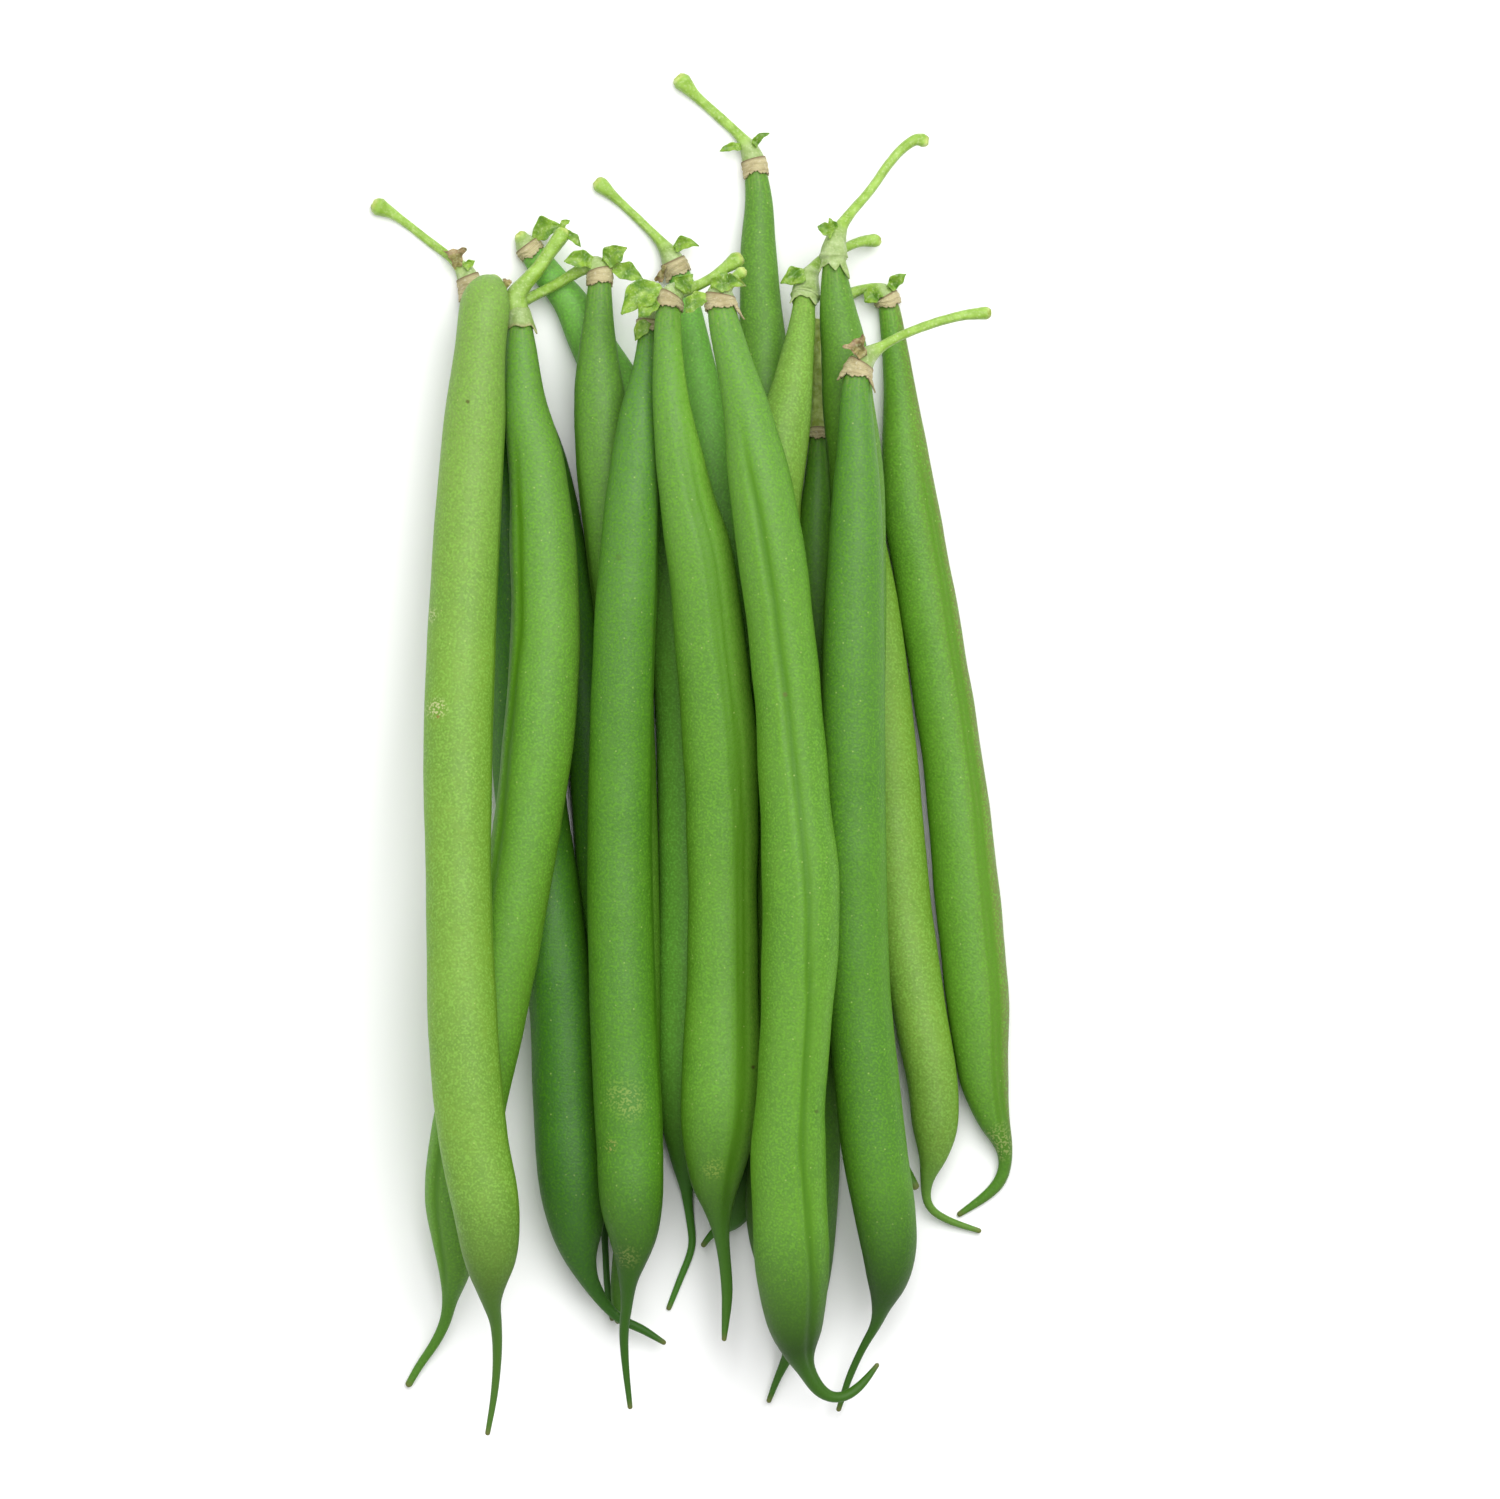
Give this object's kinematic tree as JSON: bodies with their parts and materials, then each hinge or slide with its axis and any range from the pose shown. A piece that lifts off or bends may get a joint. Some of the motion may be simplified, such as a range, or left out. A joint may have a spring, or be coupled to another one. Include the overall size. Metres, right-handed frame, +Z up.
{
  "type": "green bean bundle",
  "caption": "Loose bundle of fresh whole green beans lying side by side and over one another, with snapped stalks and curled beaks.",
  "frame": {"origin": "on the table, under the middle of the bundle's bounding box", "axes": "+X across the beans, +Y along them towards the stalks, +Z up"},
  "size_m": [0.084, 0.179, 0.0275],
  "materials": {
    "pod_light": "satin",
    "pod_fresh": "satin",
    "pod_mid": "satin",
    "pod_deep": "satin",
    "stalk": "satin",
    "dry_ring": "matte"
  },
  "bodies": {
    "root": {"pod_17": "pod_fresh", "stalk_17": "stalk", "ring_17": "dry_ring", "pod_16": "pod_light", "stalk_16": "stalk", "pod_04": "pod_mid", "stalk_04": "stalk", "pod_05": "pod_mid", "stalk_05": "stalk", "ring_05": "dry_ring", "pod_09": "pod_deep", "stalk_09": "stalk", "ring_09": "dry_ring", "pod_13": "pod_deep", "stalk_13": "stalk", "ring_13": "dry_ring", "pod_06": "pod_deep", "stalk_06": "stalk", "ring_06": "dry_ring", "pod_11": "pod_mid", "stalk_11": "stalk", "ring_11": "dry_ring", "pod_12": "pod_mid", "stalk_12": "stalk", "pod_14": "pod_mid", "stalk_14": "stalk", "pod_15": "pod_deep", "stalk_15": "stalk", "ring_15": "dry_ring", "pod_01": "pod_mid", "stalk_01": "stalk", "ring_01": "dry_ring", "pod_03": "pod_fresh", "stalk_03": "stalk", "pod_02": "pod_light", "stalk_02": "stalk", "pod_07": "pod_deep", "stalk_07": "stalk", "ring_07": "dry_ring", "pod_08": "pod_fresh", "stalk_08": "stalk", "ring_08": "dry_ring", "pod_10": "pod_fresh", "stalk_10": "stalk", "ring_10": "dry_ring"}
  },
  "joints": []
}
